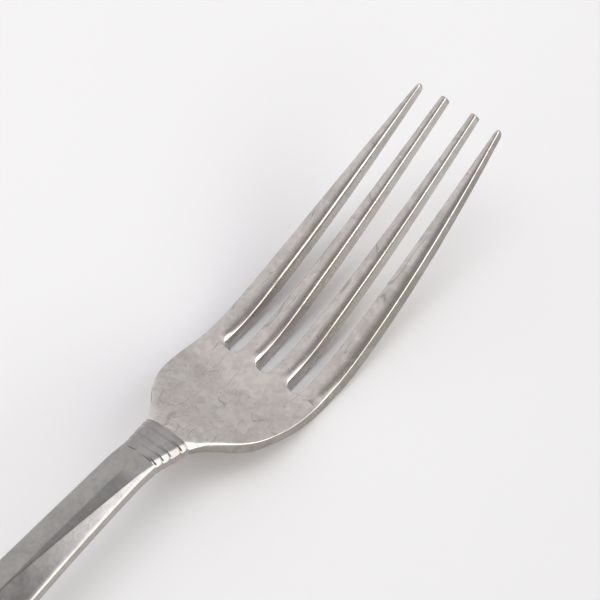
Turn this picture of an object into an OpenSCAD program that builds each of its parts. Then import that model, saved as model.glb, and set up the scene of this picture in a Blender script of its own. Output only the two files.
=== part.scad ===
// Four-tine dinner fork with a hollow handle, lying on its back with the tines up.
// Millimetres. +X runs from the butt of the handle to the tips of the tines, +Z is up.
// The origin is on the table, under the middle of the length.
// Five pieces: the head (tines, palm, neck and tang in one blank), the ringed
// collar, the upper and the lower shell of the handle, and the filler inside them.

/* [Overall] */
// Length from the butt to the tips of the inner tines
overall_l = 204; // [196:1:212]
// Length of the palm and neck, from the slot roots to the collar
palm_l = 24; // [22:0.5:26]
// Length of the collar along its own axis
collar_l = 7.2; // [6.4:0.1:8]

/* [Head] */
// Width of the head over the upper edges of the outer tines
head_w = 24.4; // [23:0.2:26]
// Width over the outer tines at their tips
tip_span = 17.6; // [17.2:0.1:18.4]
// Thickness of the palm over the spot it rests on
palm_t = 2.6; // [2.2:0.1:3]
// Depth to which the palm is dished across its width
palm_dish = 0.6; // [0.3:0.1:1]
// Width of the neck where it meets the collar
neck_w = 9.2; // [8.6:0.1:9.8]
// Thickness of the neck where it meets the collar
neck_t = 3.6; // [3.3:0.1:4.2]
// Height of the neck's middle over the table
neck_z = 10.8; // [10:0.1:11.6]
// Tilt of the neck and the collar, in degrees
neck_tilt = 14; // [11:0.5:16]

/* [Tines] */
// Length of the inner tines from the slot roots
tine_l = 55.5; // [50:0.5:59]
// How much shorter the outer tines are
outer_short = 0.5; // [0:0.1:1.5]
// Height of the tips over the bottom of the bowl
tip_rise = 19.6; // [17:0.1:22]
// Width of the outer slots at their roots
slot_w = 3.1; // [2.8:0.1:3.4]
// Width of the middle slot at its root
mid_slot_w = 3; // [2.7:0.1:3.4]
// Width of the outer slots at the tips
slot_tip_w = 4.4; // [4.2:0.1:4.8]
// Width of the middle slot at the tips
mid_slot_tip_w = 5.3; // [5:0.1:5.7]
// Thickness of the tines at the tips
tip_t = 1.7; // [1.3:0.1:2.2]
// Height of the crown along the top of each tine
tine_crown = 0.45; // [0.2:0.05:0.6]
// How much farther out a tine's lower edges stand than its upper ones
tine_draft = 0.4; // [0.2:0.05:0.5]
// The same along the outer sides of the outer tines, where it is greatest
rim_draft = 0.6; // [0.4:0.05:0.7]

/* [Handle] */
// Width of the handle where it leaves the collar
handle_w = 7.1; // [6.8:0.1:7.8]
// Width of the handle at its widest
butt_w = 18.6; // [15:0.2:21]
// Height of the plain side wall between the two rows of facets
side_h = 2.2; // [1.8:0.1:2.6]
// Slope of the side facets, as rise over run
facet_slope = 0.43; // [0.3:0.01:0.45]
// Height of the ridges over the side wall at the butt
butt_ridge = 2.5; // [2:0.1:3]
// Length of the tapering top facet behind the collar
facet_l = 31; // [26:0.5:38]
// Width of the top facet at the collar
facet_w = 5.9; // [5.2:0.1:6.2]
// Height of the top facet's crown at the collar
facet_crown = 0.45; // [0.4:0.05:0.8]
// Thickness of the two struck shells
shell_t = 0.6; // [0.5:0.05:0.7]

/* [Joints] */
// Length of the tang inside the handle
tang_l = 38; // [25:1:60]
// Width of the tang
tang_w = 3.2; // [2.8:0.1:3.4]
// Thickness of the tang
tang_t = 1.2; // [1:0.1:1.3]
// Length of the collar's spigot inside the handle's mouth
spigot_l = 1.5; // [1:0.1:2]
// Clearance of the spigot, the tang and the filler in what holds them
fit_gap = 0.1; // [0.05:0.01:0.15]

/* [Hidden] */

steel = "#c9ccd0";
steel_collar = "#bfc3c8";
cement = "#b9b2a4";

// Stations along X: tips, slot roots, neck end, back of the collar, butt
// The tips end square to the rising tines, so their lower edges reach farthest
tip_slope = 0.495;
tip_share_min = 0.35;
tip_depth = mix(tip_t / 2, tip_t + 0.05, tip_share_min);
x_tip = overall_l / 2 - tip_depth * sin(atan(tip_slope));
x_root = x_tip - tine_l;
x_neck = x_root - palm_l;
x_handle = x_neck - collar_l * cos(neck_tilt);
x_butt = -overall_l / 2;
handle_z = neck_z + collar_l * sin(neck_tilt);
neck_slope = -tan(neck_tilt);
table_gap = 0.02;

// ---- curves through named points, each written as [x, value, slope] ----
function clamp01(t) = min(1, max(0, t));
function segment(p, x, i = 0) =
    (i >= len(p) - 2 || x <= p[i + 1][0]) ? i : segment(p, x, i + 1);
function curve(p, x) =
    let (i = segment(p, x), a = p[i], b = p[i + 1], w = b[0] - a[0])
    let (t = clamp01((x - a[0]) / w), s = 1 - t)
    (1 + 2 * t) * s * s * a[1] + t * s * s * w * a[2]
    + t * t * (3 - 2 * t) * b[1] - t * t * s * w * b[2];
function slope(p, x) =
    let (i = segment(p, x), a = p[i], b = p[i + 1], w = b[0] - a[0])
    let (t = clamp01((x - a[0]) / w))
    6 * t * (t - 1) * (a[1] - b[1]) / w
    + (1 - 4 * t + 3 * t * t) * a[2] + (3 * t * t - 2 * t) * b[2];
// A flattened dome over u from -1 to 1
function dome(u) = pow(max(0, 1 - pow(abs(u), 2.6)), 1 / 2.6);
function ease(a, b, x) = let (t = clamp01((x - a) / (b - a))) t * t * (3 - 2 * t);

// A point at station x of a centre line: y across, h square to the line
function on_line(p, m, x, y, h) =
    let (n = 1 / sqrt(1 + m * m))
    [x - m * n * h, y, curve(p, x) + n * h];

// ---- head: edge line, outline, and depth above and below the edge line ----
HEAD_LINE = [
    [x_neck, neck_z, neck_slope],
    [x_root - 12, palm_t + 4.1, -0.345],
    [x_root + 2, palm_t, 0],
    [x_root + 14, palm_t + 2.15, 0.315],
    [x_tip, palm_t + tip_rise, tip_slope]];
PALM_SIDE = [
    [x_neck, neck_w / 2, 0.33],
    [x_root - 18.5, 8, 0.86],
    [x_root - 12, head_w / 2 - 0.85, 0.22],
    [x_root - 3, head_w / 2, 0],
    [x_root, head_w / 2 - 0.03, -0.01]];
// Crown over the edge line, in neck and palm
NECK_CROWN = [
    [x_neck, neck_t / 2, 0],
    [x_root - 21, neck_t / 2 - 0.4, -0.2],
    [x_root - 15, 0.15, -0.05],
    [x_root, 0, 0]];
DISH = [
    [x_root - 23, 0, 0],
    [x_root - 10, palm_dish, 0],
    [x_root - 5, palm_dish, 0],
    [x_root, 0, 0]];
// Height of the plain edge, and depth of the belly below it
EDGE_H = [
    [x_neck, 0.2, 0],
    [x_root - 14, 1.5, 0.05],
    [x_root, palm_t - 0.25, 0],
    [x_root + 20, palm_t - 0.25, 0],
    [x_tip, tip_t - 0.2, -0.02]];
BELLY = [
    [x_neck, neck_t / 2 - 0.2, 0],
    [x_root - 14, palm_t - 1.3, -0.05],
    [x_root, 0, 0]];

// Half widths of the head and of the slots, u from 0 at the roots to 1 at the tips
function along(x) = clamp01((x - x_root) / tine_l);
function mix(a, b, t) = a + (b - a) * t;
function head_side(x) =
    x < x_root ? curve(PALM_SIDE, x)
    : mix(head_w / 2 - 0.03, tip_span / 2, pow(along(x), 2));
slot_y = 0.555 * head_w / 2;
slot_tip_y = slot_y - 0.8;
function slot_centre(x) =
    x < x_root ? slot_y * head_side(x) / head_side(x_root)
    : mix(slot_y, slot_tip_y, along(x));
// The slots open from a round root
function opening(x) = sin(acos(1 - clamp01((x - x_root) / (slot_w / 2))));
function slot_half(x) = opening(x) * mix(slot_w, slot_tip_w, pow(along(x), 2)) / 2;
function mid_half(x) = opening(x) * mix(mid_slot_w, mid_slot_tip_w, along(x)) / 2;

// Sides of tine i of 4 at station x, as [low y, high y]
function tine_sides(i, x) =
    let (w = head_side(x), s = slot_centre(x), g = slot_half(x), m = mid_half(x))
    [[-w, -s - g], [-s + g, -m], [m, s - g], [s + g, w]][i];
// Round end of a tine: the share of its width left at station x
tip_round = 1.3;
function tine_end(i) = x_tip - (i == 0 || i == 3 ? outer_short : 0);
function tip_share(i, x) =
    let (t = clamp01((x - tine_end(i) + tip_round) / tip_round))
    max(tip_share_min, sqrt(1 - t * t));

palm_steps = 18;
tine_steps = 20;
across = 6;      // spans across one tine
rows = across + 1;
palm_ring = 4 * across + 1;

// Top and bottom of the head at y: u counts across the head, v across one tine
function head_top(x, u, v) =
    curve(NECK_CROWN, x) * dome(u)
    - curve(DISH, x) * (1 - u * u)
    + tine_crown * ease(x_root - 7, x_root + 2, x) * (1 - v * v);
function head_low(x, u, v) =
    -curve(EDGE_H, x) - curve(BELLY, x) * dome(u)
    - 0.25 * ease(x_root - 7, x_root, x) * (1 - v * v);

function palm_x(k) = mix(x_neck, x_root, k / palm_steps);
function palm_point(k, j, top) =
    let (x = palm_x(k), i = min(3, floor(j / across)), t = (j - i * across) / across)
    let (w = head_side(x), s = slot_centre(x), lim = [-w, -s, 0, s, w])
    let (y = mix(lim[i], lim[i + 1], t), u = y / w, v = 2 * t - 1)
    on_line(HEAD_LINE, slope(HEAD_LINE, x), x, y,
        top ? head_top(x, u, v) : head_low(x, u, v));

// The stations of a tine: close together at the round root and at the tip
function tine_x(i, k) =
    k <= 5 ? x_root + slot_w / 2 * (1 - cos(18 * k))
    : k >= tine_steps - 4
        ? tine_end(i) - tip_round * (1 - sin(90 * (k - tine_steps + 4) / 4))
    : mix(x_root + slot_w / 2, tine_end(i) - tip_round, (k - 5) / (tine_steps - 9));
// How far the lower edge stands out: less at the palm and the tips on the outer sides
function edge_draft(i, x, v) =
    opening(x) * (v < 0 && i == 0 || v > 0 && i == 3
        ? mix(0.25, rim_draft, ease(x_root, x_root + 10, x)) - 0.2 * along(x)
        : tine_draft);
function tine_point(i, k, j, top) =
    let (x = tine_x(i, k), e = tine_sides(i, x), q = tip_share(i, x))
    let (c = (e[0] + e[1]) / 2, v = 2 * j / across - 1)
    let (half = (e[1] - e[0]) / 2 * q + (top ? 0 : edge_draft(i, x, v)))
    let (h = top ? head_top(x, 0, v) : head_low(x, 1, v))
    on_line(HEAD_LINE, slope(HEAD_LINE, x), x, c + half * v, mix(-tip_t / 2, h, q));

// Numbering of the head's points: palm rings first, then the rings of each tine
palm_count = (palm_steps + 1) * palm_ring * 2;
function palm_id(k, j, top) = (k * 2 + (top ? 0 : 1)) * palm_ring + j;
function tine_id(i, k, j, top) =
    k == 0 ? palm_id(palm_steps, i * across + j, top)
    : palm_count + ((i * tine_steps + k - 1) * 2 + (top ? 0 : 1)) * rows + j;

module head_blank() {
    points = concat(
        [for (k = [0:palm_steps], top = [true, false], j = [0:palm_ring - 1])
            palm_point(k, j, top)],
        [for (i = [0:3], k = [1:tine_steps], top = [true, false], j = [0:rows - 1])
            tine_point(i, k, j, top)]);
    palm_faces = [for (k = [0:palm_steps - 1]) each concat(
        [for (j = [0:palm_ring - 2]) each quad(
            palm_id(k, j, true), palm_id(k, j + 1, true),
            palm_id(k + 1, j + 1, true), palm_id(k + 1, j, true))],
        [for (j = [0:palm_ring - 2]) each quad(
            palm_id(k, j + 1, false), palm_id(k, j, false),
            palm_id(k + 1, j, false), palm_id(k + 1, j + 1, false))],
        quad(palm_id(k, 0, false), palm_id(k, 0, true),
            palm_id(k + 1, 0, true), palm_id(k + 1, 0, false)),
        quad(palm_id(k, palm_ring - 1, true), palm_id(k, palm_ring - 1, false),
            palm_id(k + 1, palm_ring - 1, false), palm_id(k + 1, palm_ring - 1, true)))];
    tine_faces = [for (i = [0:3], k = [0:tine_steps - 1]) each concat(
        [for (j = [0:across - 1]) each quad(
            tine_id(i, k, j, true), tine_id(i, k, j + 1, true),
            tine_id(i, k + 1, j + 1, true), tine_id(i, k + 1, j, true))],
        [for (j = [0:across - 1]) each quad(
            tine_id(i, k, j + 1, false), tine_id(i, k, j, false),
            tine_id(i, k + 1, j, false), tine_id(i, k + 1, j + 1, false))],
        quad(tine_id(i, k, 0, false), tine_id(i, k, 0, true),
            tine_id(i, k + 1, 0, true), tine_id(i, k + 1, 0, false)),
        quad(tine_id(i, k, across, true), tine_id(i, k, across, false),
            tine_id(i, k + 1, across, false), tine_id(i, k + 1, across, true)))];
    neck_cap = [for (j = [0:palm_ring - 2]) each quad(
        palm_id(0, j + 1, true), palm_id(0, j, true),
        palm_id(0, j, false), palm_id(0, j + 1, false))];
    tip_caps = [for (i = [0:3], j = [0:across - 1]) each quad(
        tine_id(i, tine_steps, j, true), tine_id(i, tine_steps, j + 1, true),
        tine_id(i, tine_steps, j + 1, false), tine_id(i, tine_steps, j, false))];
    polyhedron(points, concat(palm_faces, tine_faces, neck_cap, tip_caps));
}

// Two triangles for the four corners a, b, c, d
function quad(a, b, c, d) = [[a, b, c], [a, c, d]];

// ---- tang: a flat bar, straight through the collar, then along the handle's line ----
bend_x = x_handle - 2;
tang_steps = 10;
function tang_x(k) = bend_x - tang_l * pow(k / tang_steps, 1.5);
function tang_edge(t) = [for (k = [0:tang_steps])
    let (x = tang_x(k), p = on_line(HANDLE_LINE, slope(HANDLE_LINE, x), x, 0, t))
    [p[0], p[2]]];
module tang_bar(gap) {
    t = tang_t / 2 + gap;
    low = tang_edge(-t);
    high = tang_edge(t);
    front = x_neck + 3;
    rise = (bend_x - front) * tan(neck_tilt);
    rotate([90, 0, 0])
        linear_extrude(height = tang_w + 2 * gap, center = true)
            polygon(concat(
                [[front, low[0][1] + rise]], low,
                [for (p = gap > 0 ? [low[tang_steps], high[tang_steps]] : []) p - [gap, 0]],
                [for (k = [tang_steps:-1:0]) high[k]], [[front, high[0][1] + rise]]));
}

module head() {
    color(steel)
        union() {
            head_blank();
            tang_bar(0);
        }
}

// ---- collar: an oval ring with low beads, along its tilted axis ----
// Height of the relief over the plain taper from the neck to the handle, at each
// distance behind the neck: a bead, the barrel and two rings between fine grooves
collar_drawn_l = 7.2;
COLLAR = [
    [0, -0.04, 0], [0.2, -0.1, 0], [0.4, 0, 0], [1, 0.06, 0], [1.4, 0, 0],
    [1.6, -0.1, 0], [1.8, 0, 0], [2.7, 0.06, 0], [3.6, 0, 0],
    [3.8, -0.1, 0], [4, 0, 0], [4.6, 0.05, 0], [5.2, 0, 0],
    [5.4, -0.1, 0], [5.6, 0, 0], [6.2, 0.04, 0], [6.8, -0.02, 0],
    [7, -0.1, 0], [7.2, 0, 0]];
// Share of the relief that the polishing left on the flat top and bottom
top_wear = 0.4;
collar_steps = 36;
collar_sides = 36;
function collar_half(a, b, s, share) =
    mix(a, b, s / collar_l) + share * curve(COLLAR, s / collar_l * collar_drawn_l);
module collar_body() {
    front = [neck_w / 2, neck_t / 2];
    back = [handle_w / 2, ridge_depth(x_handle)];
    points = [for (k = [0:collar_steps], i = [0:collar_sides - 1])
        let (s = collar_l * k / collar_steps, a = 360 * i / collar_sides)
        [-s, collar_half(front[0], back[0], s, 1) * cos(a),
            collar_half(front[1], back[1], s, top_wear) * sign(sin(a)) * dome(cos(a))]];
    faces = [for (k = [0:collar_steps - 1], i = [0:collar_sides - 1])
        let (n = (i + 1) % collar_sides, a = k * collar_sides)
        each quad(a + i, a + n, a + collar_sides + n, a + collar_sides + i)];
    front_face = [[for (i = [collar_sides - 1:-1:0]) i]];
    back_face = [[for (i = [0:collar_sides - 1]) collar_steps * collar_sides + i]];
    polyhedron(points, concat(faces, front_face, back_face));
}
// The spigot repeats the mouth of the handle, inset by the clearance and by the room
// that the handle's bend takes over the spigot's length
bend_room = 0.06;
module spigot() {
    half = handle_half(x_handle - spigot_l, shell_t + fit_gap + bend_room);
    outline = concat(half, [for (p = half) [-p[0], -p[1]]]);
    translate([-collar_l + 0.3, 0, 0])
        rotate([90, 0, -90])
            linear_extrude(height = spigot_l + 0.3)
                polygon(outline);
}
module collar() {
    color(steel_collar)
        difference() {
            translate([x_neck, 0, neck_z])
                rotate([0, neck_tilt, 0]) {
                    collar_body();
                    spigot();
                }
            tang_bar(fit_gap);
        }
}

// ---- handle: centre line at the seam, half widths and facets ----
butt_round = 10;
x_round = x_butt + butt_round;
HANDLE_SIDE = [
    [x_butt, butt_w / 2, 0],
    [x_butt + 16, butt_w / 2 - 0.05, 0],
    [x_handle - facet_l, handle_w / 2 + 0.95, -0.042],
    [x_handle, handle_w / 2, -0.012]];
function handle_line(z) = [
    [x_butt, z, 0.147],
    [x_handle - 4.5, handle_z + 0.6, 0],
    [x_handle, handle_z, neck_slope]];
// The butt is as low as lets the lower ridge rest on the table
function ridge_depth(x) = handle_half(x, 0)[5][1];
butt_z = table_gap - min([for (s = [0.5:0.5:30])
    curve(handle_line(0), x_butt + s) - ridge_depth(x_butt + s)]);
HANDLE_LINE = handle_line(butt_z);

// Share of the width left at the round butt, for a surface that lies d inside
function butt_share(x, d) =
    let (t = clamp01((x_round - x) / (butt_round - d)))
    sqrt(max(0, 1 - t * t));
function facet_rise(x) =
    min(facet_slope, mix(butt_ridge / (butt_w / 2), facet_slope,
        ease(x_butt, x_handle - facet_l, x)));
// Half width of the tapering top facet, down to a narrow ridge
function top_facet(x) =
    let (t = clamp01((x_handle - x) / facet_l))
    max(0.15, facet_w / 2 * (1 - t / 1.05));
function top_crown(x) = facet_crown * pow(1 - clamp01((x_handle - x) / facet_l), 2);

// Half a section at station x, as [y, h] from the seam over the ridge and back,
// for a surface that lies d inside the outside of the handle
function handle_half(x, d) =
    let (w = curve(HANDLE_SIDE, x), r = facet_rise(x), q = butt_share(x, d))
    let (drop = d * sqrt(1 + r * r), c = min(top_facet(x), w - d - 0.4))
    let (edge = side_h / 2 + r * d - drop, crease = side_h / 2 + r * (w - c) - drop)
    let (crown = top_crown(x), tall = pow(q, 0.6))
    let (side = [
        [w - d, 0], [w - d, edge], [(w - d + c) / 2, (edge + crease) / 2 + 0.05],
        [c, crease], [c / 2, crease + crown * 0.75]])
    [for (p = side) [-p[0] * q, p[1] * tall],
     [0, (crease + crown) * tall],
     for (i = [4:-1:0]) [side[i][0] * q, side[i][1] * tall]];
half_points = 11;

// Stations of the handle, for a surface that lies d inside: close together at the
// bend behind the collar, then round the butt
handle_steps = 34;
round_steps = 8;
function handle_x(k, from, d) =
    k <= handle_steps ? mix(from, x_round, pow(k / handle_steps, 1.5))
    : x_round - (butt_round - d) * sin(90 * (k - handle_steps) / round_steps);
last = handle_steps + round_steps;
function handle_points(from, d, up) =
    [for (k = [0:last - 1])
        let (x = handle_x(k, from, d), m = slope(HANDLE_LINE, x))
        for (p = handle_half(x, d)) on_line(HANDLE_LINE, m, x, p[0], p[1] * up),
     on_line(HANDLE_LINE, slope(HANDLE_LINE, x_butt), x_butt + d, 0, 0)];

// Faces between neighbouring rings of n points each, numbered from base, the last
// ring being a single point; side -1 turns them inside out
function turn(f, side) = side > 0 ? f : [f[2], f[1], f[0]];
function ring_faces(base, n, count, side) =
    [for (k = [0:last - 1], i = [0:count - 1])
        let (a = base + k * n + i, b = base + k * n + (i + 1) % n, tip = base + last * n)
        each k == last - 1 ? [turn([a, tip, b], side)]
            : [turn([a, a + n, b + n], side), turn([a, b + n, b], side)]];

// One struck shell: outer and inner surface, seam faces and mouth. up is 1 or -1
module shell(up) {
    n = half_points;
    inner = last * n + 1;
    points = concat(handle_points(x_handle, 0, up), handle_points(x_handle, shell_t, up));
    outside = ring_faces(0, n, n - 1, up);
    inside = ring_faces(inner, n, n - 1, -up);
    mouth = [for (i = [0:n - 2]) each
        [turn([i, i + 1, inner + i + 1], up), turn([i, inner + i + 1, inner + i], up)]];
    seam = [for (k = [0:last - 1], i = [0, n - 1])
        let (a = k * n + i, b = k == last - 1 ? last * n : a + n)
        let (side = i == 0 ? -up : up)
        each [turn([a, b, inner + b], side), turn([a, inner + b, inner + a], side)]];
    polyhedron(points, concat(outside, inside, mouth, seam));
}
module handle_upper_shell() {
    color(steel) shell(1);
}
module handle_lower_shell() {
    color(steel) shell(-1);
}

// ---- filler: the set cement that fills both shells and holds the tang ----
x_filler = x_handle - spigot_l - 0.3;
module filler_body() {
    d = shell_t + fit_gap;
    n = 2 * (half_points - 1);
    points = [for (k = [0:last - 1])
        let (x = handle_x(k, x_filler, d), m = slope(HANDLE_LINE, x))
        let (half = handle_half(x, d))
        for (i = [0:n - 1])
            let (p = i < half_points ? half[i] : [half[n - i][0], -half[n - i][1]])
            on_line(HANDLE_LINE, m, x, p[0], p[1])];
    tip = on_line(HANDLE_LINE, slope(HANDLE_LINE, x_butt), x_butt + d, 0, 0);
    front = [[for (i = [0:n - 1]) i]];
    polyhedron(concat(points, [tip]), concat(ring_faces(0, n, n, 1), front));
}
module handle_filler() {
    color(cement)
        difference() {
            filler_body();
            tang_bar(fit_gap);
        }
}

head();
collar();
handle_upper_shell();
handle_lower_shell();
handle_filler();
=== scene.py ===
"""A four-tine dinner fork with a hollow handle, lying on its back on a pale table.

The sections follow the fork as it is put together: the head, the collar, the two
shells of the handle and the filler inside them, then the table, light and camera.
Sizes are in millimetres and turn to metres when a mesh is made. +X runs from the
butt to the tips, +Z is up, and the table is at z = 0.
"""

import math

import bmesh
import bpy
import numpy as np
from mathutils import Matrix, Vector


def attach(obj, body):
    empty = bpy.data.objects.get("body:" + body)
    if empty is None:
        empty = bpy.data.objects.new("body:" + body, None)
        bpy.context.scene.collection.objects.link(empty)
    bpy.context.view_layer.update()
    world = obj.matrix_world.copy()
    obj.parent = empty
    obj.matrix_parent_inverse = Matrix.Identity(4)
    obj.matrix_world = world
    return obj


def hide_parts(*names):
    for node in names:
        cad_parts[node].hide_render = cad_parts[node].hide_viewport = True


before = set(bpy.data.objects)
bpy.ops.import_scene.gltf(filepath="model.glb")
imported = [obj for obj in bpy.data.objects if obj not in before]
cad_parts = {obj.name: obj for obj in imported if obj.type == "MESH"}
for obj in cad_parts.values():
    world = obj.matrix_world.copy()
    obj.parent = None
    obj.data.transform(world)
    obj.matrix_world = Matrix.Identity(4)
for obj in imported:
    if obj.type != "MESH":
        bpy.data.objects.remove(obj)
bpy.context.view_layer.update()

# ---------------------------------------------------------------- head
# The head is one forged and blanked piece of stainless steel: four tines, the
# dished palm, the neck, and a flat tang that runs back into the handle. The
# blank's edges were eased on a belt and the whole was polished.
overall_l = 204.0
tine_l = 55.5
palm_l = 24.0
collar_l = 7.2
head_w = 24.4
root_half = head_w / 2 - 0.03
tip_span = 17.6
palm_t = 2.6
tip_t = 1.7
neck_w, neck_t, neck_z = 9.2, 3.6, 10.8
neck_tilt = math.radians(14)
neck_slope = -math.tan(neck_tilt)
slot_w, slot_tip_w = 3.1, 4.4
mid_slot_w, mid_slot_tip_w = 3.0, 5.3
# The outer slots stand at a share of half the width, and lean inwards towards the tips
slot_place, slot_tip_shift = 0.555, 0.8
slot_y = slot_place * head_w / 2
slot_tip_y = slot_y - slot_tip_shift
palm_dish = 0.6
tine_draft = 0.4
tine_crown, full_crown_half = 0.45, 1.45
tine_belly = 0.25

# The tips are square to the rising tines, so their lower edges reach a little past x_tip
tip_reach = 0.517
x_tip = overall_l / 2 - tip_reach
x_root = x_tip - tine_l
x_neck = x_root - palm_l

# Smooth lines through [x, value, slope] stations: the height of the head's centre line,
# half the palm's width, the rise of the neck's top and the depth of the dish over and
# under that line, then how far the plain edge and the belly reach below it
HEAD_LINE = [
    [x_neck, neck_z, neck_slope],
    [x_root - 12, palm_t + 4.1, -0.345],
    [x_root + 2, palm_t, 0],
    [x_root + 14, palm_t + 2.15, 0.315],
    [x_tip, palm_t + 19.6, 0.495]]
PALM_SIDE = [
    [x_neck, neck_w / 2, 0.33],
    [x_root - 18.5, 8, 0.86],
    [x_root - 12, head_w / 2 - 0.85, 0.22],
    [x_root - 3, head_w / 2, 0],
    [x_root, root_half, -0.01]]
NECK_CROWN = [
    [x_neck, neck_t / 2, 0],
    [x_neck + 1.3, neck_t / 2 - 0.6, -0.1],
    [x_root - 20, neck_t / 2 - 0.8, -0.08],
    [x_root - 6, 0, 0]]
DISH = [
    [x_root - 23, 0, 0],
    [x_root - 10, palm_dish, 0],
    [x_root - 5, palm_dish, 0],
    [x_root, 0, 0]]
EDGE_H = [
    [x_neck, 0.2, 0],
    [x_root - 14, 1.5, 0.05],
    [x_root, palm_t - tine_belly, 0],
    [x_root + 20, palm_t - tine_belly, 0],
    [x_tip, tip_t - 0.2, -0.02]]
BELLY = [
    [x_neck, neck_t / 2 - 0.2, 0],
    [x_root - 14, palm_t - 1.3, -0.05],
    [x_root, 0, 0]]


def follow(stations, x):
    """Value at x of the smooth line through [x, value, slope] stations."""
    p = np.array(stations, float)
    x = np.asarray(x, float)
    i = np.clip(np.searchsorted(p[:, 0], x) - 1, 0, len(p) - 2)
    a, b = p[i], p[i + 1]
    w = b[..., 0] - a[..., 0]
    t = np.clip((x - a[..., 0]) / w, 0, 1)
    s = 1 - t
    inside = ((1 + 2 * t) * s * s * a[..., 1] + t * s * s * w * a[..., 2]
              + t * t * (3 - 2 * t) * b[..., 1] - t * t * s * w * b[..., 2])
    before = np.minimum(x - p[0, 0], 0) * p[0, 2]
    after = np.maximum(x - p[-1, 0], 0) * p[-1, 2]
    return inside + before + after


spread_steps = np.linspace(-1, 1, 13)[1:-1]
spread_weights = np.cos(spread_steps * math.pi / 2) ** 2


def spread_out(value_at):
    """Weighted mean of value_at(step) for steps from -1 to 1, which eases a bend."""
    total = sum(k * value_at(step) for k, step in zip(spread_weights, spread_steps))
    return total / spread_weights.sum()


def polished(stations, x, reach=1.5):
    """The same line as a wheel leaves it, with each change of bend spread out."""
    return spread_out(lambda step: follow(stations, x + reach * step))


def on_line(stations, x, y, h):
    """Points at stations x of a centre line: y across, h square to the line."""
    step = 0.02
    z = polished(stations, x)
    m = (polished(stations, x + step) - polished(stations, x - step)) / (2 * step)
    n = 1 / np.sqrt(1 + m * m)
    return np.stack(np.broadcast_arrays(x - m * n * h, y, z + n * h), -1)


def ease(a, b, x):
    """Rises smoothly from 0 at a to 1 at b."""
    t = np.clip((x - a) / (b - a), 0, 1)
    return t * t * (3 - 2 * t)


def mix(a, b, t):
    return a + (b - a) * t


oval_squareness, neck_squareness = 2.6, 6.0


def dome(u, squareness=oval_squareness):
    """A flattened dome over u from -1 to 1."""
    return np.maximum(0, 1 - np.abs(u) ** squareness) ** (1 / squareness)


def rounding(d, r):
    """How far a surface falls at distance d inside an edge rounded to radius r."""
    return r - np.sqrt(np.maximum(0, r * r - np.clip(r - d, 0, r) ** 2))


def along(x):
    """Share of a tine's length from its root."""
    return np.clip((x - x_root) / tine_l, 0, 1)


def head_side(x):
    """Half the head's width."""
    return np.where(x < x_root, polished(PALM_SIDE, x, 0.6),
                    mix(root_half, tip_span / 2, along(x) ** 2))


def slot_centre(x):
    """Middle of the outer slot at +Y, which goes on over the palm as a guide line."""
    return np.where(x < x_root, slot_y * head_side(x) / root_half,
                    mix(slot_y, slot_tip_y, along(x)))


def slot_half(x):
    return mix(slot_w, slot_tip_w, along(x) ** 2) / 2


def mid_half(x):
    return mix(mid_slot_w, mid_slot_tip_w, along(x)) / 2


def opening(x):
    """Share of a slot's width at its round root."""
    t = 1 - np.clip((x - x_root) / (slot_w / 2), 0, 1)
    return np.sqrt(1 - t * t)


def edge_distance(x, y):
    """How far a point lies inside the rim and inside the nearest slot's edge, and
    where it lies across that slot, from -1 to 1."""
    step = 0.05
    turn = (head_side(x + step) - head_side(x - step)) / (2 * step)
    rim = (head_side(x) - np.abs(y)) / np.sqrt(1 + turn * turn)
    slot, side = np.full(np.shape(y), np.inf), 0 * y
    a = slot_w / 2
    x_round = x_root + a
    for centre, half in ((slot_centre(x), slot_half(x)), (0 * x, mid_half(x)),
                         (-slot_centre(x), slot_half(x))):
        beside = np.abs(y - centre) - half
        ahead = a * (np.hypot((x - x_round) / a, (y - centre) / half) - 1)
        gap = np.where(x < x_round, ahead, beside)
        side = np.where(gap < slot, np.clip((y - centre) / half, -1, 1), side)
        slot = np.minimum(gap, slot)
    return np.maximum(rim, 0), np.maximum(slot, 0), side


metres_per_mm, mm_per_metre = 0.001, 1000
weld_distance = 2e-6
sharp_angle = math.radians(38)


def grid_faces(rows, columns, start=0):
    """Quads of a grid of points numbered row by row."""
    k, j = np.meshgrid(np.arange(rows - 1), np.arange(columns - 1), indexing="ij")
    a = start + k * columns + j
    return np.stack([a, a + 1, a + columns + 1, a + columns], -1).reshape(-1, 4)


def finish_piece(name, mesh):
    """Welds a mesh, closes and shades it, and puts it in the scene."""
    work = bmesh.new()
    work.from_mesh(mesh)
    bmesh.ops.remove_doubles(work, verts=work.verts, dist=weld_distance)
    bmesh.ops.holes_fill(work, edges=[e for e in work.edges if e.is_boundary])
    bmesh.ops.recalc_face_normals(work, faces=work.faces)
    for face in work.faces:
        face.smooth = True
    work.to_mesh(mesh)
    work.free()
    mesh.set_sharp_from_angle(angle=sharp_angle)
    piece = bpy.data.objects.new(name, mesh)
    bpy.context.scene.collection.objects.link(piece)
    return piece


def make_piece(name, patches):
    """One closed mesh from grids of points in millimetres."""
    points, faces, start = [], [], 0
    for p in patches:
        points.append(p.reshape(-1, 3))
        faces.extend(grid_faces(p.shape[0], p.shape[1], start).tolist())
        start += p.shape[0] * p.shape[1]
    mesh = bpy.data.meshes.new(name)
    mesh.from_pydata((np.concatenate(points) * metres_per_mm).tolist(), [], faces)
    return finish_piece(name, mesh)


def quarter_turn(count):
    """Angles whose sines and cosines crowd the stations of a round stretch."""
    return np.linspace(0, math.pi / 2, count)


# Shares of an edge's radius, close together where the edge is steepest
edge_steps = 1 - np.cos(quarter_turn(7))
flat_columns = 13
wall_rows = 7


def across(low, high, r):
    """Points from one edge to the other, close together on the rounded edges."""
    left = low[:, None] + r[:, None] * edge_steps
    right = high[:, None] - r[:, None] * edge_steps[::-1]
    share = np.linspace(0, 1, flat_columns + 2)[1:-1]
    inner = mix(left[:, -1:], right[:, :1], share)
    return np.concatenate([left, inner, right], 1)


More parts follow.
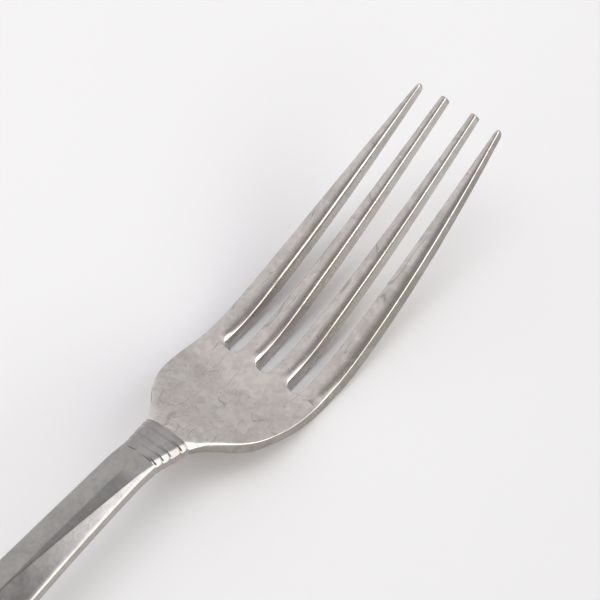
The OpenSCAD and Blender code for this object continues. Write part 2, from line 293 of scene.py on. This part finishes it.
# Radii of the upper edges. Pairs are the values at the root end and towards the tips for
# the rim, and at -Y and at +Y for the slots
palm_edge_r, tine_edge_r, crisp_edge_r = 0.11, (0.14, 0.24), 0.12
slot_back_r, slot_front_r, slot_root_r = 0.16, (0.42, 0.68), (0.34, 0.72)
low_edge_r = 0.3
# An edge's radius is at most this share of half the width of its tine
top_edge_share, low_edge_share = 0.55, 0.8
# How far the lower edges stand out at the outer sides: at the slot roots, then gained
# along the first part of the tine, and lost again all the way to the tip
root_lean, gained_lean, lost_lean = 0.2, 0.35, 0.2
# The neck stands a little higher than the palm, as far as a low bowed step
pad_step, pad_bow = 0.07, 1.1
pad_x = x_root - 21.6
TINES = range(4)
OUTER_TINES = (0, 3)


def rim_radius(x):
    """Radius of the upper edges at the head's rim."""
    return mix(palm_edge_r, mix(*tine_edge_r, ease(x_root + 6, x_root + 24, x)),
               ease(x_root - 6, x_root + 4, x))


def slot_radius(x, y, side):
    """Radius of a slot's upper edges: crisp on one side, and on the other rubbed
    rounder where the slot begins, most of all in the slot at +Y."""
    rubbed = np.exp(-((x - x_root - 2) / 1.5) ** 2)
    toward_left = np.clip(0.5 + 0.5 * y / slot_y, 0, 1)
    worn = mix(*slot_root_r, toward_left ** 1.4)
    front = mix(*slot_front_r, toward_left ** 3)
    plain = mix(slot_back_r, front, ease(x_root + 4, x_root + 20, x))
    return mix(crisp_edge_r, mix(plain, worn, rubbed), ease(-0.8, 0.8, side))


def rim_lean(x):
    """How far the outer sides' lower edges stand out."""
    gained = gained_lean * ease(x_root, x_root + 10, x)
    return root_lean * ease(x_root - 8, x_root + 1.5, x) + gained - lost_lean * along(x)


def side_lean(i, v, rim, draft):
    """How far the lower surface of tine i stands out at v across it, by rim at the
    head's own sides and by draft at the sides that face a slot."""
    return np.where(v > 0, rim if i == 3 else draft, rim if i == 0 else draft) * v


def tine_limits(i, x, slot_open):
    """Where tine i lies across the head, with its slots open by a share."""
    w, s = head_side(x), slot_centre(x)
    g, m = slot_open * slot_half(x), slot_open * mid_half(x)
    return [(-w, -s - g), (-s + g, -m), (m, s - g), (s + g, w)][i]


def head_heights(x, y, v, half):
    """Top and bottom of the blank, square to its centre line. v is the place across
    the tine, from -1 to 1, and half is half of the tine's full width."""
    u = y / head_side(x)
    rim_d, slot_d, side = edge_distance(x, y)
    d = np.minimum(rim_d, slot_d)
    crown = tine_crown * ease(x_root - 7, x_root + 2, x) * np.minimum(1, half / full_crown_half)
    hump = mix(0.5 + 0.5 * np.cos(math.pi * v), 1 - v * v, ease(x_root - 2, x_root + 5, x))
    pad_end = pad_x + pad_bow * u * u
    pad = pad_step * (1 - ease(-0.35, 0.35, x - pad_end))
    square = mix(oval_squareness, neck_squareness, ease(x_neck + 0.4, x_neck + 3, x))
    top = (polished(NECK_CROWN, x) * dome(u, square) - polished(DISH, x) * (1 - u * u)
           + crown * hump + pad * ease(0.2, 1.4, d) * (x < x_root - 10))
    base = -polished(EDGE_H, x) - polished(BELLY, x) * dome(u)
    base = base - tine_belly * ease(x_root - 7, x_root, x) * (1 - v * v)
    r_top = np.where(rim_d < slot_d, rim_radius(x), slot_radius(x, y, side))
    r_top = np.minimum(r_top, top_edge_share * half) * ease(x_neck - 3, x_neck + 3, x)
    r_low = np.minimum(low_edge_r, low_edge_share * half) * ease(x_neck - 3, x_neck + 6, x)
    return top - rounding(d, r_top), base + rounding(d, r_low)


def wall(top, low, column):
    """The side of the blank between one column of its top and of its bottom."""
    share = np.linspace(0, 1, wall_rows)[None, :, None]
    return mix(top[:, [column]], low[:, [column]], share)


# Stations crowd together just behind the slot roots, and round the roots themselves
crowded_l = 1.5
palm_x = np.concatenate([
    np.linspace(x_neck, x_root - crowded_l, 86)[:-1],
    x_root - crowded_l + crowded_l * np.sin(quarter_turn(12))])
root_x = x_root + slot_w / 2 * (1 - np.cos(quarter_turn(16)))


def palm_patches(i):
    """Top and bottom of the palm behind tine i, and the wall at the rim if it has one."""
    side, centre = head_side(palm_x), slot_centre(palm_x)
    limits = [-side, -centre, 0 * side, centre, side]
    low, high = limits[i], limits[i + 1]
    full_low, full_high = tine_limits(i, np.maximum(palm_x, x_root), 1)
    half = (full_high - full_low) / 2
    y = across(low, high, np.minimum(slot_radius(palm_x, high, 1), top_edge_share * half))
    x = palm_x[:, None] + 0 * y
    v = (2 * y - (low + high)[:, None]) / (high - low)[:, None]
    top, base = head_heights(x, y, v, half[:, None])
    top_points = on_line(HEAD_LINE, x, y, top)
    low_points = on_line(HEAD_LINE, x, y + side_lean(i, v, rim_lean(x), 0), base)
    rim_walls = [wall(top_points, low_points, 0 if i == 0 else -1)] if i in OUTER_TINES else []
    return [top_points, low_points] + rim_walls


# Length and squareness of the round tips, and how far they end before x_tip
outer_tip, inner_tip = (1.2, 2.2), (0.6, 3.6)
tip_setback, outer_short = 0.2, 0.1
# Height of the point that the top and the bottom close on at a tip
tip_middle = -tip_t / 2 + 0.1


def tine_patches(i):
    """Top and bottom of tine i, and the walls at its two sides."""
    end = x_tip - tip_setback - (outer_short if i in OUTER_TINES else 0)
    tip_l, squareness = outer_tip if i in OUTER_TINES else inner_tip
    stations = np.concatenate([
        root_x, np.linspace(root_x[-1], end - tip_l, 120)[1:-1],
        end - tip_l + tip_l * np.sin(quarter_turn(14))])
    low, high = tine_limits(i, stations, opening(stations))
    full_low, full_high = tine_limits(i, stations, 1)
    half = (full_high - full_low) / 2
    y = across(low, high, np.minimum(slot_radius(stations, high, 1), top_edge_share * half))
    x = stations[:, None] + 0 * y
    v = (2 * y - (low + high)[:, None]) / (high - low)[:, None]
    top, base = head_heights(x, y, v, half[:, None])
    lean = side_lean(i, v, rim_lean(x), tine_draft * opening(x))
    t = np.clip((x - end + tip_l) / tip_l, 0, 1)
    open_share = (1 - t ** squareness) ** (1 / squareness)
    c = ((low + high) / 2)[:, None]
    top_points = on_line(
        HEAD_LINE, x, c + (y - c) * open_share, mix(tip_middle, top, open_share))
    low_points = on_line(
        HEAD_LINE, x, c + (y + lean - c) * open_share, mix(tip_middle, base, open_share))
    return [top_points, low_points, wall(top_points, low_points, 0),
            wall(top_points, low_points, -1)]


patches = []
for i in TINES:
    patches += palm_patches(i) + tine_patches(i)

# The tang is a flat bar, straight through the collar and then along the handle's line
x_handle = x_neck - collar_l * math.cos(neck_tilt)
handle_z = neck_z + collar_l * math.sin(neck_tilt)
x_butt = -overall_l / 2
# Height of the seam at the butt, where the handle's lower ridge just clears the table
butt_z = 2.552
HANDLE_LINE = [
    [x_butt, butt_z, 0.147],
    [x_handle - 4.5, handle_z + 0.6, 0],
    [x_handle, handle_z, neck_slope]]
tang_l, tang_w, tang_t = 38.0, 3.2, 1.2
tang_bend_x = x_handle - 2
tang_x = np.concatenate([[x_neck], tang_bend_x - tang_l * np.linspace(0, 1, 11) ** 1.5])
tang_turn = np.linspace(0, 2 * math.pi, 5) + math.pi / 4
tang_y = tang_w / 2 * np.sign(np.cos(tang_turn))
tang_h = tang_t / 2 * np.sign(np.sin(tang_turn))
patches.append(on_line(HANDLE_LINE, tang_x[:, None] + 0 * tang_y, tang_y, tang_h))

head = make_piece("fork_head", patches)
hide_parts("head")
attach(head, "root")


def linear(code):
    """A colour written as an sRGB hex value, turned to linear light."""
    parts = [int(code[i:i + 2], 16) / 255 for i in (1, 3, 5)]
    return tuple(p / 12.92 if p <= 0.04045 else ((p + 0.055) / 1.055) ** 2.4
                 for p in parts) + (1.0,)


def add(tree, kind, inputs=None, **settings):
    """Adds one node with its settings, and gives its sockets values or links."""
    node = tree.nodes.new(kind)
    for key, value in settings.items():
        setattr(node, key, value)
    for key, value in (inputs or {}).items():
        if isinstance(value, bpy.types.NodeSocket):
            tree.links.new(value, node.inputs[key])
        else:
            node.inputs[key].default_value = value
    return node


def calc(tree, operation, *values):
    """Result of one Math node."""
    sockets = dict(enumerate(values))
    return add(tree, "ShaderNodeMath", sockets, operation=operation).outputs[0]


def ramp(tree, value, low, high, at_low=0.0, at_high=1.0, **settings):
    """A value that goes from at_low to at_high while another goes from low to high."""
    sockets = {0: value, 1: low, 2: high, 3: at_low, 4: at_high}
    return add(tree, "ShaderNodeMapRange", sockets, **settings).outputs[0]


def blend(tree, share, first, second):
    """Mix of two values."""
    return add(tree, "ShaderNodeMix", {0: share, 2: first, 3: second}).outputs[0]


def blend_colours(tree, share, first, second):
    sockets = {0: share, 6: first, 7: second}
    return add(tree, "ShaderNodeMix", sockets, data_type="RGBA").outputs[2]


def noise(tree, where, scale, detail, **inputs):
    sockets = {"Vector": where, "Scale": scale, "Detail": detail, **inputs}
    return add(tree, "ShaderNodeTexNoise", sockets).outputs["Fac"]


def bump(tree, height, depth, under=None):
    """Relief of a depth in metres, over the relief under it."""
    sockets = {"Height": height, "Distance": abs(depth), "Strength": 1.0}
    if under is not None:
        sockets["Normal"] = under
    return add(tree, "ShaderNodeBump", sockets, invert=depth < 0).outputs[0]


def new_material(name):
    """A material, its node tree and its shader."""
    material = bpy.data.materials.new(name)
    material.use_nodes = True
    return material, material.node_tree, material.node_tree.nodes["Principled BSDF"]


def millimetres(tree, seed=0.0):
    """The place in millimetres, shifted so that each piece shows its own stretch of
    the pattern."""
    where = add(tree, "ShaderNodeTexCoord").outputs["Object"]
    return add(tree, "ShaderNodeMapping", {
        "Vector": where, "Location": (seed, seed * 1.7, 0),
        "Scale": (mm_per_metre, mm_per_metre, mm_per_metre)}).outputs[0]


# Four directions of hairlines: the turn, how fine the noise is along and across, the width
HAIRLINES = (
    (0.5, 0.05, 0.42, 0.006),
    (-0.75, 0.04, 0.35, 0.005),
    (1.35, 0.05, 0.5, 0.005),
    (-0.2, 0.03, 0.24, 0.016))


def hairlines(tree, mm):
    """Hairlines lie where a stretched noise crosses its middle value, in patches."""
    marks = None
    for n, (turn, fine_along, fine_across, width) in enumerate(HAIRLINES):
        turned = add(tree, "ShaderNodeMapping", {
            "Vector": mm, "Rotation": (0, 0, turn), "Location": (31 * n, 17 * n, 0),
            "Scale": (fine_along, fine_across, 0.2)}).outputs[0]
        off = calc(tree, "ABSOLUTE", calc(tree, "SUBTRACT", noise(tree, turned, 1.0, 0.5), 0.5))
        patch = ramp(tree, noise(tree, turned, 2.3, 0.0), 0.5, 0.62)
        line = calc(tree, "MULTIPLY", ramp(tree, off, 0.0, width, 1.0, 0.0), patch)
        marks = line if marks is None else calc(tree, "MAXIMUM", marks, line)
    return marks


def small_pits(tree, mm):
    """Rare dots that lie in groups."""
    cell = add(tree, "ShaderNodeTexVoronoi", {"Vector": mm, "Scale": 0.8}).outputs
    dot = ramp(tree, cell["Distance"], 0.05, 0.16, 1.0, 0.0)
    chance = add(tree, "ShaderNodeSeparateColor", {0: cell["Color"]}).outputs[0]
    rare = ramp(tree, calc(tree, "ADD", chance, noise(tree, mm, 0.09, 1.0)), 1.06, 1.2)
    return calc(tree, "MULTIPLY", dot, rare)


def polished_steel(name, colour, worn, roughness, line_scale, seed, scratched):
    """Stainless steel polished on a wheel: soft reflections, drawn a little long by the
    polishing lines, with hair-thin wiping scratches, a few pits and hazy spots."""
    material, tree, shader = new_material(name)
    mm = millimetres(tree, seed)
    haze = noise(tree, mm, 0.16, 4.0, Roughness=0.62)
    blotch = noise(tree, mm, 0.42, 2.0, Distortion=1.2)
    drawn = add(tree, "ShaderNodeMapping", {
        "Vector": mm, "Scale": (0.12, line_scale, line_scale)}).outputs[0]
    lines = noise(tree, drawn, 1.0, 3.0)
    marks = calc(tree, "MULTIPLY", hairlines(tree, mm), scratched)
    pits = calc(tree, "MULTIPLY", small_pits(tree, mm), scratched)

    haze_share = ramp(tree, blend(tree, 0.5, haze, blotch), 0.4, 0.6)
    tone = blend_colours(tree, haze_share, linear(colour), linear(worn))
    tone = blend_colours(tree, pits, tone, linear("#4A4643"))
    tone = blend_colours(tree, marks, tone, linear("#7C7773"))
    tree.links.new(tone, shader.inputs["Base Color"])
    shader.inputs["Metallic"].default_value = 1.0
    dull = ramp(tree, haze, 0.35, 0.7, roughness, roughness + 0.09)
    dull = calc(tree, "MULTIPLY_ADD", marks, 0.4, dull)
    dull = calc(tree, "MULTIPLY_ADD", pits, 0.3, dull)
    tree.links.new(dull, shader.inputs["Roughness"])

    # Depths are in metres: waves under the polish, lines, hairlines and pits
    relief = None
    for height, depth in ((haze, 1.6e-5), (lines, 1.2e-6), (marks, -3e-6), (pits, -1.6e-5)):
        relief = bump(tree, height, depth, relief)
    tree.links.new(relief, shader.inputs["Normal"])
    return material


# Wheel-polished 18/10 stainless steel: warm grey and softly mirrored
steel = polished_steel("polished_stainless_steel", "#E0D7D1", "#CBC2BC", 0.17, 4.0, 0.0, 0.5)
# The outer edge of the blank and the tips are ground on a belt, so duller; their greyer tone is
# painted shade for the dark reflections on these walls and tip ends
ground_steel_painted_shade = polished_steel(
    "belt_ground_steel_painted_shade", "#A7A29D", "#948F89", 0.3, 6.0, 20.0, 0.1)
# The slots are blanked and then brushed through, so duller; their greyer tone is painted shade for
# the shaded slots these walls reflect
brushed_steel_painted_shade = polished_steel(
    "brushed_steel_painted_shade_slots", "#C6C1BD", "#B9B4AF", 0.25, 6.0, 60.0, 0.1)
for material in (steel, ground_steel_painted_shade, brushed_steel_painted_shade):
    head.data.materials.append(material)


def face_values(mesh, name):
    """A vector for each face of a mesh."""
    values = np.empty(3 * len(mesh.polygons), np.float32)
    mesh.polygons.foreach_get(name, values)
    return values.reshape(-1, 3)


# Faces that stand upright are walls. Those near the rim are ground, as are the ends of the
# tips, and those in the slots are brushed; the greyer steels they take are partly painted shade on
# these walls
upright_z, rim_band, tip_band = 0.45, 0.1, 0.45
middles = face_values(head.data, "center") * mm_per_metre
upright = np.abs(face_values(head.data, "normal")[:, 2]) < upright_z
outermost = np.abs(middles[:, 1]) > head_side(middles[:, 0]) - rim_band
at_tip = middles[:, 0] > x_tip - tip_band
ground_and_shaded = (middles[:, 0] > x_neck) & (upright & outermost | at_tip)
brushed_and_shaded = upright & (middles[:, 0] > x_root) & ~ground_and_shaded
head.data.polygons.foreach_set("material_index", (ground_and_shaded + 2 * brushed_and_shaded).astype(np.int32))

# ---------------------------------------------------------------- collar
# The collar is an oval ring of stainless steel, threaded over the tang and
# brazed to the neck. It is cast with a bead, a barrel and two rings between fine
# grooves, and the polishing wore them down on the flat top and bottom.
# The relief is drawn as (distance behind the neck, height), and the heights are
# then stretched by side_share at the sides and by top_share on the top and bottom.
COLLAR_RELIEF = [
    (0.0, -0.04), (0.2, -0.1), (0.4, 0.0), (1.0, 0.06), (1.4, 0.0), (1.6, -0.1),
    (1.8, 0.0), (2.7, 0.06), (3.6, 0.0), (3.8, -0.1), (4.0, 0.0), (4.6, 0.05),
    (5.2, 0.0), (5.4, -0.1), (5.6, 0.0), (6.2, 0.04), (6.8, -0.02), (7.0, -0.1),
    (7.2, 0.0)]
relief_reach = 0.2
side_share, top_share = 1.6, 0.8
handle_w, mouth_t = 7.1, 3.616

collar_tree = bpy.data.node_groups.new("Turned Collar", "GeometryNodeTree")
SIZES = [
    ("Length", "NodeSocketFloat", collar_l * metres_per_mm),
    ("Front Width", "NodeSocketFloat", neck_w * metres_per_mm),
    ("Front Thickness", "NodeSocketFloat", neck_t * metres_per_mm),
    ("Back Width", "NodeSocketFloat", handle_w * metres_per_mm),
    ("Back Thickness", "NodeSocketFloat", mouth_t * metres_per_mm),
    ("Side Relief", "NodeSocketFloat", side_share * relief_reach * metres_per_mm),
    ("Top Relief", "NodeSocketFloat", top_share * relief_reach * metres_per_mm),
    ("Roundness", "NodeSocketFloat", 2 / oval_squareness),
    ("Tilt", "NodeSocketFloat", neck_tilt),
    ("Place", "NodeSocketVector", (x_neck * metres_per_mm, 0, neck_z * metres_per_mm)),
    ("Along", "NodeSocketInt", 160),
    ("Around", "NodeSocketInt", 97),
    ("Steel", "NodeSocketMaterial", None)]
for label, kind, _ in SIZES:
    collar_tree.interface.new_socket(label, in_out="INPUT", socket_type=kind)
collar_tree.interface.new_socket("Geometry", in_out="OUTPUT", socket_type="NodeSocketGeometry")
sizes = add(collar_tree, "NodeGroupInput").outputs
sheet = add(collar_tree, "GeometryNodeMeshGrid", {
    "Size X": 1.0, "Size Y": 1.0, "Vertices X": sizes["Along"], "Vertices Y": sizes["Around"]})
spot = add(collar_tree, "ShaderNodeSeparateXYZ", {
    0: add(collar_tree, "GeometryNodeInputPosition").outputs[0]}).outputs
# The first and last rows close the ends, so the rows between them share the length
row_step = calc(collar_tree, "DIVIDE", 1.0, calc(collar_tree, "SUBTRACT", sizes["Along"], 1.0))
end_row = calc(collar_tree, "SUBTRACT", 0.5, row_step)
low_row = calc(collar_tree, "MULTIPLY", end_row, -1.0)
share = ramp(collar_tree, spot["X"], low_row, end_row)
sheet_edge = 0.4999
is_body = calc(
    collar_tree, "LESS_THAN", calc(collar_tree, "ABSOLUTE", spot["X"]), sheet_edge)
profile = add(collar_tree, "ShaderNodeFloatCurve", {"Value": share})
drawn = profile.mapping.curves[0].points
for n, (behind, height) in enumerate(COLLAR_RELIEF):
    level = 0.5 + height / (2 * relief_reach)
    # A new curve has two points already
    if n < 2:
        drawn[n].location = (behind / collar_l, level)
    else:
        drawn.new(behind / collar_l, level)
profile.mapping.update()
relief = ramp(collar_tree, profile.outputs[0], 0.0, 1.0, -1.0, 1.0, clamp=False)
angle = calc(collar_tree, "MULTIPLY", spot["Y"], 2 * math.pi)
reaches = []
for wave, front, back, height in (
        ("COSINE", "Front Width", "Back Width", "Side Relief"),
        ("SINE", "Front Thickness", "Back Thickness", "Top Relief")):
    swing = calc(collar_tree, wave, angle)
    size = calc(collar_tree, "POWER", calc(collar_tree, "ABSOLUTE", swing), sizes["Roundness"])
    oval = calc(collar_tree, "MULTIPLY", size, calc(collar_tree, "SIGN", swing))
    width = blend(collar_tree, share, sizes[front], sizes[back])
    raised = calc(collar_tree, "MULTIPLY", relief, sizes[height])
    half = calc(collar_tree, "MULTIPLY_ADD", width, 0.5, raised)
    closed = calc(collar_tree, "MULTIPLY", half, is_body)
    reaches.append(calc(collar_tree, "MULTIPLY", oval, closed))
backward = calc(collar_tree, "MULTIPLY", sizes["Length"], -1.0)
behind = calc(collar_tree, "MULTIPLY", share, backward)
placed = add(collar_tree, "ShaderNodeCombineXYZ", {0: behind, 1: reaches[0], 2: reaches[1]})
ring = add(collar_tree, "GeometryNodeSetPosition", {
    "Geometry": sheet.outputs["Mesh"], "Position": placed.outputs[0]})
ring = add(collar_tree, "GeometryNodeMergeByDistance", {
    "Geometry": ring.outputs[0], "Distance": weld_distance})
tilted = add(collar_tree, "ShaderNodeCombineXYZ", {1: sizes["Tilt"]})
ring = add(collar_tree, "GeometryNodeTransform", {
    "Geometry": ring.outputs[0], "Rotation": tilted.outputs[0], "Translation": sizes["Place"]})
ring = add(collar_tree, "GeometryNodeRealizeInstances", {"Geometry": ring.outputs[0]})
ring = add(collar_tree, "GeometryNodeSetMaterial", {
    "Geometry": ring.outputs[0], "Material": sizes["Steel"]})
add(collar_tree, "NodeGroupOutput", {"Geometry": ring.outputs[0]})

# The same steel, greyer where the wheel misses its grooves; the greyer tone is also painted shade
# for the darker reflections over the collar
collar_steel_painted_shade = polished_steel("collar_steel_with_painted_shade", "#B4AEAC", "#A49D9B", 0.1, 3.0, 40.0, 0.1)
start = bpy.data.objects.new("collar_start", bpy.data.meshes.new("collar_start"))
bpy.context.scene.collection.objects.link(start)
maker = start.modifiers.new("Turned Collar", "NODES")
maker.node_group = collar_tree
size_values = {label: value for label, _, value in SIZES}
for item in collar_tree.interface.items_tree:
    if item.in_out == "INPUT":
        maker[item.identifier] = collar_steel_painted_shade if item.name == "Steel" else size_values[item.name]
bpy.context.view_layer.update()
turned = start.evaluated_get(bpy.context.evaluated_depsgraph_get())
collar_mesh = bpy.data.meshes.new_from_object(turned)
start.modifiers.remove(maker)
bpy.data.objects.remove(start)
collar = finish_piece("fork_collar", collar_mesh)
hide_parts("collar")
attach(collar, "root")

# ---------------------------------------------------------------- handle shells
# The handle is two shells struck from stainless sheet and brazed along the sides.
# A low roof-shaped facet on top tapers away behind the collar, and beside it two
# long facets meet the plain side wall. The joint was ground flush and polished.
butt_w = 18.6
side_h = 2.2
facet_slope, butt_ridge = 0.43, 2.5
facet_l, facet_w, roof_slope = 31.0, 5.9, 0.19
facet_taper = 1.05
shell_t = 0.6
butt_round, butt_setback = 10.0, 0.08
x_round = x_butt + butt_round
crease_reach, crease_band = 0.22, 0.3
facet_half_min, facet_margin = 0.15, 0.35
butt_power = 0.6
side_edge_r = 0.42
seam_groove, seam_groove_h = 0.035, 0.06
HANDLE_SIDE = [
    [x_butt, butt_w / 2, 0],
    [x_butt + 16, butt_w / 2 - 0.05, 0],
    [x_handle - facet_l, handle_w / 2 + 0.95, -0.042],
    [x_handle, handle_w / 2, -0.012]]
shell_x = np.concatenate([
    x_handle - (x_handle - x_round) * np.linspace(0, 1, 150) ** 1.4,
    x_round - (butt_round - butt_setback) * np.sin(quarter_turn(26))[1:]])


def facet_half(x, least):
    """Half the width of the top facet, down to the least one."""
    behind = np.clip((x_handle - x) / facet_l, 0, 1)
    return np.maximum(least, facet_w / 2 * (1 - behind / facet_taper))


def shell_height(x, y, w):
    """Height of the facets over the seam, with the creases eased by the polishing."""
    rise = np.minimum(facet_slope, mix(butt_ridge / (butt_w / 2), facet_slope,
                                       ease(x_butt, x_handle - facet_l, x)))
    c = facet_half(x, facet_half_min)

    def sharp_height(step):
        out = np.abs(y + step * crease_reach)
        roof = roof_slope * np.maximum(c - out, 0)
        return side_h / 2 + rise * (w - np.maximum(out, c)) + roof

    return spread_out(sharp_height)


def shell_columns(w):
    """Points across a shell of half width w, close together on its rounded edges and
    at the creases of its top facet."""
    left = -w[:, None] + side_edge_r * edge_steps
    c = facet_half(shell_x, crease_band)[:, None]
    c = np.minimum(c, w[:, None] - side_edge_r - facet_margin)
    side_facet = mix(left[:, -1:], -c - crease_band, np.linspace(0, 1, 9)[1:-1])
    crease = -c + np.linspace(-crease_band, crease_band, 7)
    top_facet = mix(-c + crease_band, 0 * c, np.linspace(0, 1, 8)[1:])
    y = np.sort(np.concatenate([left, side_facet, crease, top_facet], 1), 1)
    return np.concatenate([y, -y[:, -2::-1]], 1)


def shell_grid(up, depth):
    """A shell's outer side, or its inner side at a depth below that, from the seam on
    one side to the seam on the other."""
    w = polished(HANDLE_SIDE, shell_x) - depth
    x = np.clip(shell_x, x_butt + butt_setback + depth, None)
    t = np.clip((x_round - x) / (butt_round - butt_setback - depth), 0, 1)
    butt_share = np.sqrt(np.maximum(0, 1 - t * t))[:, None]
    y, w = shell_columns(w), w[:, None]
    h = shell_height(shell_x[:, None] + 0 * y, y, w + depth)
    h = h - depth * math.hypot(1, facet_slope) - rounding(w - np.abs(y), side_edge_r)
    # The plain side wall, with a fine groove at the seam on the outside
    wall_y = w - np.array([0 if depth else seam_groove, 0, 0, 0, 0])
    wall_h = h[:, :1] * np.array([0, 0, 0.3, 0.55, 0.8])
    wall_h[:, 1] = seam_groove_h
    y = np.concatenate([-wall_y, y, wall_y[:, ::-1]], 1)
    h = np.concatenate([wall_h, h, wall_h[:, ::-1]], 1)
    h = up * h * butt_share ** butt_power
    return on_line(HANDLE_LINE, x[:, None] + 0 * y, y * butt_share, h)


def shell_patches(up):
    """Both sides of a shell, its two seam faces and its rim at the collar."""
    outer, inner = shell_grid(up, 0.0), shell_grid(up, shell_t)
    left_seam = np.stack([outer[:, 0], inner[:, 0]], 1)
    right_seam = np.stack([outer[:, -1], inner[:, -1]], 1)
    mouth = np.stack([outer[0], inner[0]], 0)
    return [outer, inner, left_seam, right_seam, mouth]


# Struck sheet is a little greyer than the forged head, and its darker tone is also painted shade
# for the darker reflections over the handle
handle_steel_painted_shade = polished_steel("struck_steel_with_painted_shade", "#B3AEAA", "#A6A29E", 0.13, 5.0, 80.0, 0.1)
for name, node, up in (("handle_top", "handle_upper_shell", 1),
                       ("handle_underside", "handle_lower_shell", -1)):
    shell = make_piece(name, shell_patches(up))
    shell.data.materials.append(handle_steel_painted_shade)
    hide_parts(node)
    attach(shell, "root")

# ---------------------------------------------------------------- handle filler
# The hollow of the handle is filled with a mineral-filled cement that holds the
# tang. It is poured in as a paste and sets hard, with small air bubbles. Its shape
# is the solid's own.
cement, tree, shader = new_material("filled_handle_cement")
mm = millimetres(tree)
cloud = noise(tree, mm, 0.5, 5.0)
grain = noise(tree, mm, 7.0, 3.0)
bubble = add(tree, "ShaderNodeTexVoronoi", {"Vector": mm, "Scale": 1.1}).outputs["Distance"]
bubble = ramp(tree, bubble, 0.08, 0.2, 1.0, 0.0)
tone = blend_colours(tree, cloud, linear("#D9D2C5"), linear("#CBC3B3"))
tone = blend_colours(tree, bubble, tone, linear("#A59D8E"))
tree.links.new(tone, shader.inputs["Base Color"])
tree.links.new(ramp(tree, grain, 0.3, 0.7, 0.85, 0.95), shader.inputs["Roughness"])
relief = bump(tree, bubble, -1.5e-4, bump(tree, grain, 4e-5))
tree.links.new(relief, shader.inputs["Normal"])
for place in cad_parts["handle_filler"].material_slots:
    place.material = cement

# ---------------------------------------------------------------- table, light, camera
table_half = 3
floor_mesh = bpy.data.meshes.new("table")
floor_mesh.from_pydata([
    (-table_half, -table_half, 0), (table_half, -table_half, 0),
    (table_half, table_half, 0), (-table_half, table_half, 0)], [], [(0, 1, 2, 3)])
table = bpy.data.objects.new("table", floor_mesh)
bpy.context.scene.collection.objects.link(table)
# Painted shade: the table's white is a little darker towards -Y, standing for the light falling
# off across it
paper, tree, shader = new_material("white_table")
across_table = add(tree, "ShaderNodeSeparateXYZ", {
    0: add(tree, "ShaderNodeTexCoord").outputs["Object"]}).outputs["Y"]
painted_falloff = ramp(tree, across_table, 0.04, -0.12)
tone = blend_colours(tree, painted_falloff, linear("#E5E2E3"), linear("#DBD8DA"))
tree.links.new(tone, shader.inputs["Base Color"])
shader.inputs["Roughness"].default_value = 0.9
table.data.materials.append(paper)

# The room: pale walls with a darker one beyond the tips, a shaded side, the
# photographer's dark shape over the table, and a bright window on the camera's right
world = bpy.context.scene.world or bpy.data.worlds.new("room")
bpy.context.scene.world = world
world.use_nodes = True
room = world.node_tree
sky = room.nodes["Background"]
toward = add(room, "ShaderNodeTexCoord").outputs["Generated"]


def between(planes):
    """1 on the inner side of planes through the fork, and 0 on the outer side of any. A
    plane is a unit vector, and where along it the value rises softly from 0 to 1."""
    inside = None
    for way, low, high in planes:
        near = add(room, "ShaderNodeVectorMath", {0: toward, 1: way}, operation="DOT_PRODUCT")
        soft = ramp(room, near.outputs["Value"], low, high, interpolation_type="SMOOTHSTEP")
        inside = soft if inside is None else calc(room, "MULTIPLY", inside, soft)
    return inside


near_side = ((-0.891, 0.0, 0.454), -0.01, 0.05)
shade = between([near_side, ((0.0, -0.985, 0.174), -0.2, 0.2)])
photographer = between([near_side, ((0.29, -0.955, -0.07), -0.03, 0.07)])
far_wall = between([((1.0, 0.0, 0.0), 0.74, 0.94)])
window_above = between([
    ((0.937, -0.059, -0.345), -0.045, 0.06), ((0.0, -0.970, -0.243), 0.0, 0.15)])
window_low = between([((0.0, -0.643, -0.766), 0.0, 0.25), ((0.574, 0.819, 0.0), 0.0, -0.08)])
window = calc(room, "MAXIMUM", window_above, window_low)
wall_level, shade_level, photographer_level = 0.8, 0.5, 0.3
far_wall_level, window_level = 0.66, 2.6
level = blend(room, shade, wall_level, shade_level)
level = blend(room, photographer, level, photographer_level)
level = blend(room, far_wall, level, far_wall_level)
level = blend(room, window, level, window_level)
room.links.new(level, sky.inputs["Strength"])
# The lower part of the window is a little yellow
height = add(room, "ShaderNodeSeparateXYZ", {0: toward}).outputs["Z"]
low = calc(room, "MULTIPLY", ramp(room, height, 0.75, 0.35), window)
tint = blend_colours(room, low, linear("#FAFCFF"), linear("#FDFFF4"))
room.links.new(tint, sky.inputs["Color"])

# A softbox overhead keeps the fork's soft shadow close under it
softbox = bpy.data.lights.new("softbox", "AREA")
softbox.size = 0.75
softbox.energy = 4.6
lamp = bpy.data.objects.new("softbox", softbox)
bpy.context.scene.collection.objects.link(lamp)
lamp.location = (-0.05, 0.12, 1.19)
lamp.rotation_euler = Vector(lamp.location).to_track_quat("Z", "Y").to_euler()
lamp.visible_glossy = False

bpy.context.scene.view_settings.view_transform = "Standard"

lens = bpy.data.cameras.new("camera")
camera = bpy.data.objects.new("camera", lens)
bpy.context.scene.collection.objects.link(camera)
bpy.context.scene.camera = camera
sensor_w, image_side, focal_pixels = 36, 600, 2123.07
lens.sensor_width = sensor_w
lens.lens = sensor_w * focal_pixels / image_side
heading, drop, roll = (math.radians(a) for a in (36.374, 53.618, 2.267))
look = Vector((math.cos(heading) * math.cos(drop), math.sin(heading) * math.cos(drop),
               -math.sin(drop)))
level_right = Vector((math.sin(heading), -math.cos(heading), 0))
level_up = level_right.cross(look)
right = math.cos(roll) * level_right + math.sin(roll) * level_up
above = -math.sin(roll) * level_right + math.cos(roll) * level_up
target, distance = Vector((58.775, 1.581, 8.0)), 362.512
camera.location = (target - distance * look) * metres_per_mm
camera.rotation_euler = Matrix((right, above, -look)).transposed().to_euler()
